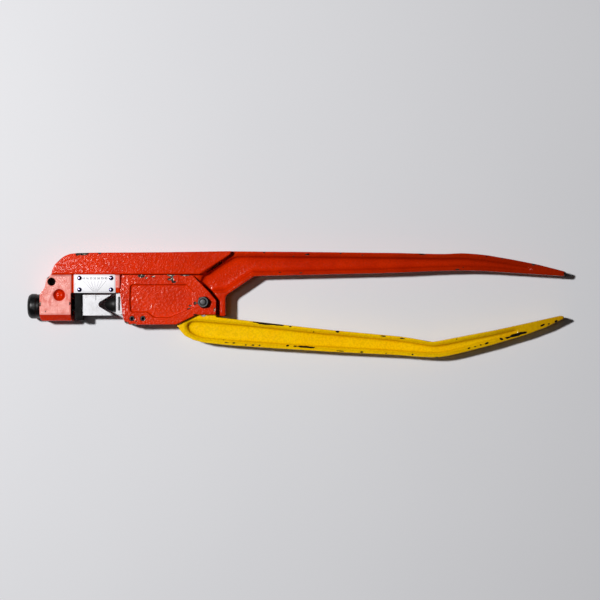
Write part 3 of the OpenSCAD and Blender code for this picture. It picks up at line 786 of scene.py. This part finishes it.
def pivot_bolt():
    """The bolt: slotted round head, shoulder that the handle turns on, and threaded end."""
    nut_low = box_mm("pivot_nut")[0].z
    top = box_mm("pivot_bolt")[1].z
    head_r, head_low, head_high = 9, 0.6, 3.6
    shoulder_r, shoulder_high = 6, 28
    root, crest, pitch = 3.5, 4.0, 1.25
    profile = rounded([
        (0, head_low, 0), (head_r - 0.8, head_low, 0.3), (head_r, head_low + 0.7, 0.4),
        (head_r, head_high, 0.2), (shoulder_r, head_high, 0.2), (shoulder_r, shoulder_high, 0.3),
        (root, shoulder_high, 0)], 0.3)
    profile += thread_rings(root, crest, nut_low + 0.4, top - 0.8, pitch, 0.4, 0.56)
    profile += [Vector((root, top - 0.5)), Vector((3.1, top - 0.1)), Vector((2.4, top)), Vector((0, top))]
    bolt = object_from_bmesh("pivot_bolt_piece", lathe(profile, (PIVOT.x, PIVOT.y, 0), "z", 64), DULL)
    half, deep = 1.1, 2.2
    drive = prism([(-10, -half), (10, -half), (10, half), (-10, half)], -1, deep, 0)
    bmesh.ops.translate(drive, verts=drive.verts, vec=(PIVOT.x * MM, PIVOT.y * MM, 0))
    cut(bolt, drive)
    finish_piece(bolt, "frame", "dark_steel", "pivot_bolt", smooth_deg=34)


def hollow_pins():
    """The two rolled spring pins: slit tubes with rounded rims."""
    low, high = box_mm("cover_pins")
    outer = (high.y - low.y) / 2
    inner = outer - 1.1
    steps, slit = 40, 0.22
    middle_y = (low.y + high.y) / 2
    tubes = []
    for x in (low.x + outer, high.x - outer):
        section = rounded([
            (inner, MID_Z, 0), (inner, low.z, 0.3), (outer - 0.3, low.z, 0.3), (outer, low.z + 1.2, 0.4),
            (outer, high.z - 1.2, 0.4), (outer - 0.3, high.z, 0.3), (inner, high.z, 0.3),
            (inner, MID_Z, 0)], 0.3)
        bm = bmesh.new()
        rings = []
        for k in range(steps + 1):
            a = -math.pi / 2 + slit + (2 * math.pi - 2 * slit) * k / steps
            ring = [bm.verts.new((x + r * math.cos(a), middle_y + r * math.sin(a), z))
                    for r, z in section[:-1]]
            rings.append(ring)
        for one, two in zip(rings, rings[1:]):
            for k in range(len(one)):
                j = (k + 1) % len(one)
                bm.faces.new((one[k], one[j], two[j], two[k]))
        bm.faces.new(rings[0])
        bm.faces.new(list(reversed(rings[-1])))
        bmesh.ops.scale(bm, vec=(MM, MM, MM), verts=bm.verts)
        tubes.append(bm)
    obj = joined("cover_pins_piece", tubes, DULL)
    finish_piece(obj, "frame", "dark_steel", "cover_pins", smooth_deg=40)


def scale_plate():
    low, high = box_mm("scale_plate")
    corner = 0.8
    outline = rounded([
        (low.x + 2, low.y, 0), (high.x, low.y), (high.x, high.y), (low.x, high.y), (low.x, low.y),
        (low.x + 2, low.y, 0)], corner)[:-1]
    plate = object_from_bmesh("scale_plate_piece", prism(outline, low.z, high.z, 0.15), PLATE)
    finish_piece(plate, "frame", "aluminium", "scale_plate", smooth_deg=40)


def scale_rivets():
    """Four drive rivets: domed heads on thin shanks."""
    plate_low, plate_high = box_mm("scale_plate")
    low, high = box_mm("scale_rivets")
    head, rise, shank, bottom = 2.8, 1.5, 1.45, plate_low.z - 5
    domes = []
    for x in (low.x + head, high.x - head):
        for y in (low.y + head, high.y - head):
            turns = [k * math.pi / 2 / 10 for k in range(11)]
            profile = [Vector((head * math.sin(t), plate_high.z + rise * math.cos(t) ** 0.9)) for t in turns]
            profile += [Vector((shank, plate_high.z)), Vector((shank, bottom)), Vector((0, bottom))]
            domes.append(lathe(profile, (x, y, 0), "z", 40))
    rivets = joined("scale_rivets_piece", domes, RIVET)
    finish_piece(rivets, "frame", "rivet_steel", "scale_rivets", smooth_deg=50)


def stroke(p, q, half, surface):
    """A thin line of ink from p to q, a little proud of the surface."""
    side = Vector((-(q - p).y, (q - p).x)).normalized() * half
    return prism([p - side, p + side, q + side, q - side], surface - 0.1, surface + 0.03, 0)


def number(label, x, y, surface):
    """A number of ink, with its middle at x and y."""
    curve = bpy.data.curves.new("number", "FONT")
    curve.body = label
    curve.size = 3.4
    curve.align_x = "CENTER"
    curve.align_y = "CENTER"
    curve.extrude = 0.06
    curve.offset = 0.04
    text = bpy.data.objects.new("number", curve)
    scene.collection.objects.link(text)
    bpy.context.view_layer.update()
    graph = bpy.context.evaluated_depsgraph_get()
    mesh = bpy.data.meshes.new_from_object(text.evaluated_get(graph))
    bm = bmesh.new()
    bm.from_mesh(mesh)
    place = Matrix.Translation((x * MM, y * MM, (surface - 0.03) * MM))
    bmesh.ops.transform(bm, matrix=place @ Matrix.Scale(MM, 4), verts=bm.verts)
    bpy.data.objects.remove(text)
    bpy.data.curves.remove(curve)
    bpy.data.meshes.remove(mesh)
    return bm


def scale_marks():
    """The plate's print: a fan of lines from the index to plain numbers, inside a thin frame."""
    low, high = box_mm("scale_plate")
    sizes = ["10", "16", "25", "35", "50", "70", "95"]
    foot_half = 2.6
    left, right = low.x + 11.6, high.x - 11.4
    line_top, number_y, line_foot = high.y - 7.6, high.y - 4.6, low.y + 1.8
    marks = []
    for k, label in enumerate(sizes):
        share = k / (len(sizes) - 1)
        top = Vector((left + share * (right - left), line_top))
        foot = Vector((INDEX_X + foot_half * (2 * share - 1), line_foot))
        marks.append(stroke(foot, top, 0.12, high.z))
        marks.append(number(label, top.x, number_y, high.z))
    inset = 1.2
    frame_line = [
        Vector((low.x + inset, low.y + inset)), Vector((high.x - inset, low.y + inset)),
        Vector((high.x - inset, high.y - inset)), Vector((low.x + inset, high.y - inset))]
    for p, q in zip(frame_line, frame_line[1:] + frame_line[:1]):
        marks.append(stroke(p, q, 0.1, high.z))
    finish_piece(joined("scale_marks", marks, INK), "frame", "aluminium")


def index_mark():
    """Ink in the index line cut across the nest die."""
    high = box_mm("nest_die")[1]
    left, right = INDEX_X - 0.3, INDEX_X + 0.3
    bm = prism([(left, 5), (right, 5), (right, high.y - 0.4), (left, high.y - 0.4)],
               high.z - 0.42, high.z - 0.18, 0)
    obj = object_from_bmesh("index_line", bm, DARK_INK)
    finish_piece(obj, "nest", "black_steel")


def sunk_pin():
    """The spindle pin's end under paint: a lumpy dome of three lobes in its hollow."""
    low, high = box_mm("spindle_pin")
    mid = middle_mm("spindle_pin")
    r = (high.x - low.x) / 2
    profile = rounded([(0, low.z, 0), (r, low.z, 0.4), (r, high.z - 1.4, 0.8), (r - 1.2, high.z - 0.4, 1.2),
                       (0, high.z, 0)], 0.5, 6)
    fine = [profile[0]]
    for p, q in zip(profile, profile[1:]):
        steps = 6 if abs(q.x - p.x) > 1.5 else 1
        fine += [p.lerp(q, (k + 1) / steps) for k in range(steps)]
    bm = lathe(fine, (mid.x, mid.y, 0), "z", 48)
    for v in bm.verts:
        if v.co.z > (high.z - 2) * MM:
            out = Vector((v.co.x - mid.x * MM, v.co.y - mid.y * MM))
            lobes = min(1.0, out.length / (0.7 * r * MM)) ** 2
            dent = 0.45 - 0.4 * lobes * math.cos(3 * math.atan2(out.y, out.x) + 0.5)
            v.co.z -= max(0.0, dent + 0.5 * noise.noise(v.co * 260)) * MM
    obj = object_from_bmesh("spindle_pin_piece", bm, RED)
    finish_piece(obj, "frame", "red_paint", "spindle_pin", smooth_deg=60)


def plain_machined():
    """Ground and turned pieces whose CAD shape is right but for fine edges."""
    rows = [
        ("ram", BRIGHT, "ram", "ground_steel", 0.4),
        ("nest_die", BRIGHT, "nest", "ground_steel", 0.35),
        # the holder's very dark oxide is painted shade
        ("nest_holder", SHADE_DARK_BLACK, "nest", "black_steel", 0.5),
        ("punch_clip", BLACK, "ram", "black_steel", 0.15),
        ("nest_screws", BLACK, "nest", "black_steel", 0.15),
        ("guide_block", DULL, "frame", "dark_steel", 0.4),
        ("cam_plate", DULL, "handle", "dark_steel", 0.3),
        ("cam_pin", BRIGHT, "handle", "ground_steel", 0.3),
        ("handle_bush", BUSH, "handle", "bronze", 0.2),
        ("spring_post", BRIGHT, "frame", "ground_steel", 0.3),
    ]
    for node, material, body, slot, edge in rows:
        piece = machined(node, material, edge)
        finish_piece(piece, body, slot, node, smooth_deg=50, flat_faces=True)
    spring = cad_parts["return_spring"]
    spring.data.materials.clear()
    spring.data.materials.append(BRIGHT)


# ---------------------------------------------------------------- floor, light and camera

def stage():
    s = Shader("floor", Roughness=0.6)
    s.set(Base_Color=s.blend(s.noise(400.0, 2.0), rgb(226, 226, 230), rgb(232, 232, 235)),
          Normal=s.bump(s.noise(3.0, 3.0), 0.02))
    bm = bmesh.new()
    bmesh.ops.create_grid(bm, x_segments=2, y_segments=2, size=6.0)
    floor = object_from_bmesh("floor", bm, s.mat)

    def lamp(name, at, target, size, watts):
        data = bpy.data.lights.new(name, "AREA")
        data.shape = "SQUARE"
        data.size = size
        data.energy = watts
        obj = bpy.data.objects.new(name, data)
        obj.location = at
        aim = Vector(target) - Vector(at)
        obj.rotation_euler = aim.to_track_quat("-Z", "Y").to_euler()
        scene.collection.objects.link(obj)

    lamp("key", at=(-1.55, 0.54, 2.85), target=(-0.10, 0.0, 0.0), size=0.22, watts=97)
    lamp("sheen", at=(-0.57, 0.02, 2.2), target=(-0.27, 0.0, 0.0), size=0.13, watts=1.0)
    world = bpy.data.worlds.new("studio")
    world.use_nodes = True
    back = world.node_tree.nodes["Background"]
    back.inputs["Color"].default_value = (0.92, 0.94, 1.0, 1.0)
    back.inputs["Strength"].default_value = 0.012
    scene.world = world


def camera():
    """Square above the tool, as the photograph: 720 mm across at the height of the handles."""
    away, wide, level = 2.2, 0.72, 0.030
    right, up = 0.0036, 0.0053
    data = bpy.data.cameras.new("camera")
    data.sensor_width = 36.0
    data.lens = data.sensor_width * away / wide
    data.clip_start = 0.05
    obj = bpy.data.objects.new("camera", data)
    obj.location = (right, up, level + away)
    scene.collection.objects.link(obj)
    scene.camera = obj


red_frame()
red_cover()
yellow_handle()
knob()
knob_cross_pin()
spindle()
punch_piece()
pivot_nut()
pivot_bolt()
hollow_pins()
scale_plate()
scale_rivets()
scale_marks()
index_mark()
sunk_pin()
plain_machined()
stage()
camera()
scene.view_settings.view_transform = "Standard"
